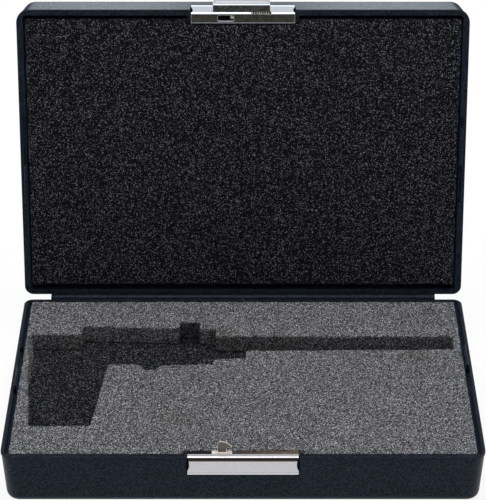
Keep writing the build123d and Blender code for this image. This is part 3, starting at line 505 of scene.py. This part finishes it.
def eased(node_name, name, width, materials, body, groove=(0.0, 0.0)):
    """A pressed piece with its sharp edges eased by width, but for a groove between two values of y."""
    shape = bmesh.new()
    shape.from_mesh(frame["nodes"][node_name].data)
    bmesh.ops.remove_doubles(shape, verts=shape.verts, dist=1e-6)
    bmesh.ops.dissolve_limit(shape, angle_limit=FLAT, verts=shape.verts, edges=shape.edges)
    edges = [e for e in shape.edges if len(e.link_faces) == 2 and e.calc_face_angle() > SHARP
             and not groove[0] < (e.verts[0].co.y + e.verts[1].co.y) / 2 < groove[1]]
    made = bmesh.ops.bevel(shape, geom=edges, offset=width, segments=2, profile=0.5, affect="EDGES",
                           material=-1, clamp_overlap=False)
    for face in made["faces"]:
        face.material_index = len(materials) - 1
    for face in shape.faces:
        face.smooth = True
    piece = finished(shape, name, *materials)
    piece.data.set_sharp_from_angle(angle=CRISP)
    piece.modifiers.new("flat_faces", "WEIGHTED_NORMAL").keep_sharp = True
    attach(piece, body)
    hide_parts(node_name)
    return piece


eased("strike_plate", "chromed_strike_plate", 0.00012, [strike_chrome], "base")


# Hook: blanked from 1 mm spring steel, hardened and staked through the strike plate, with a dark steel
# face. Its sheared edges and its foot carry a pale painted highlight, which outlines the dark face.
HOOK_FOOT_TOP = 0.0305
# Painted highlight: a pale, near-white finish on the hook's eased edges and its foot.
painted_edge_highlight = empty_material("painted_pale_edge_highlight")
tree = painted_edge_highlight.node_tree
place = add_node(tree, "ShaderNodeTexCoord", {})
haze = add_node(tree, "ShaderNodeTexNoise", {"Scale": 900.0, "Detail": 2.0}, [("Vector", place, "Object")])
colour = add_node(tree, "ShaderNodeValToRGB", {}, [("Fac", haze, 0)],
                  [(0.3, "#CFC9C2"), (0.6, "#FFF6EE")])
skin = add_node(tree, "ShaderNodeBsdfPrincipled", {"Metallic": 0.2, "Roughness": 0.45},
                [("Base Color", colour, 0)])
add_node(tree, "ShaderNodeOutputMaterial", {}, [("Surface", skin, 0)])
dark_hook_steel = metal("dark_steel_face", "#5F5B55", 0.22, 0.4, 0.0015)
hook = eased("latch_hook", "barbed_hook", 0.00024, [dark_hook_steel, painted_edge_highlight], "base")
# The foot takes the painted highlight.
for face in hook.data.polygons:
    if face.center.z < HOOK_FOOT_TOP:
        face.material_index = 1


# Housing and button of the lid: pressed from sheet and chromed, the housing with a cool blue cast
# and the button in satin. Their cut edges are duller, and show as pale lines. A plain groove is
# pressed along the button.
BUTTON_GROOVE = (0.1183, 0.1192)
cool_chrome = metal("chromed_sheet_cool", "#C2C8D2", 0.04, 0.12, 0.003)
cut_chrome = metal("chromed_cut_edge", "#CFCCCC", 0.2, 0.35, 0.002)
eased("latch_housing", "chromed_housing", 0.00018, [cool_chrome, cut_chrome], "lid")
soft_chrome = metal("chromed_sheet_satin", "#A4A9B1", 0.08, 0.16, 0.003)
eased("slider_button", "pressed_button", 0.00012, [soft_chrome, cut_chrome],
      "latch_slider", BUTTON_GROOVE)


# Catch, stems and rivets: bright zinc-plated steel, seen only through the hole and the window.
# The stems join the catch to the button, and the rivets hold each plate to the wall of its bay.
zinc_steel = metal("bright_zinc_steel", "#C9C8C4", 0.15, 0.3, 0.002)
dress("catch_plate", zinc_steel)
for node_name in ("slider_rivets", "strike_plate_rivets", "latch_housing_rivets"):
    dress(node_name, zinc_steel)


# Catch spring: 0.4 mm music wire wound to 2.2 mm across with eight turns. Its right end rests on the
# bay, and the catch pushes its left end 3.5 mm to the right. Bright wire makes its coils glint.
WIRE_RADIUS = 0.0002
COIL_RADIUS = 0.0009
COIL_TURNS = 8
TURN_STEPS = 20
low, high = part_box("catch_spring")
middle_y = (low[1] + high[1]) / 2
middle_z = (low[2] + high[2]) / 2
length = high[0] - low[0] - 2 * WIRE_RADIUS
steps = COIL_TURNS * TURN_STEPS
shape = bmesh.new()
bmesh.ops.create_circle(shape, segments=10, radius=WIRE_RADIUS)
for axis in ("Y", "Z"):
    bmesh.ops.rotate(shape, verts=shape.verts, cent=(0.0, 0.0, 0.0),
                     matrix=Matrix.Rotation(math.radians(90.0), 3, axis))
bmesh.ops.translate(shape, verts=shape.verts, vec=(0.0, 0.0, COIL_RADIUS))
bmesh.ops.contextual_create(shape, geom=shape.edges[:])
bmesh.ops.spin(shape, geom=shape.faces[:] + shape.edges[:] + shape.verts[:], cent=(0.0, 0.0, 0.0),
               axis=(1.0, 0.0, 0.0), dvec=(length / steps, 0.0, 0.0), angle=2 * math.pi * COIL_TURNS,
               steps=steps)
bmesh.ops.remove_doubles(shape, verts=shape.verts, dist=1e-7)
bmesh.ops.translate(shape, verts=shape.verts, vec=(low[0] + WIRE_RADIUS, middle_y, middle_z))
bmesh.ops.recalc_face_normals(shape, faces=shape.faces)
for face in shape.faces:
    face.smooth = True
spring = finished(shape, "coil_spring", metal("bright_music_wire", "#D4D2CC", 0.12, 0.25, 0.002))
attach(spring, "lid")
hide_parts("catch_spring")
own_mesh(spring)
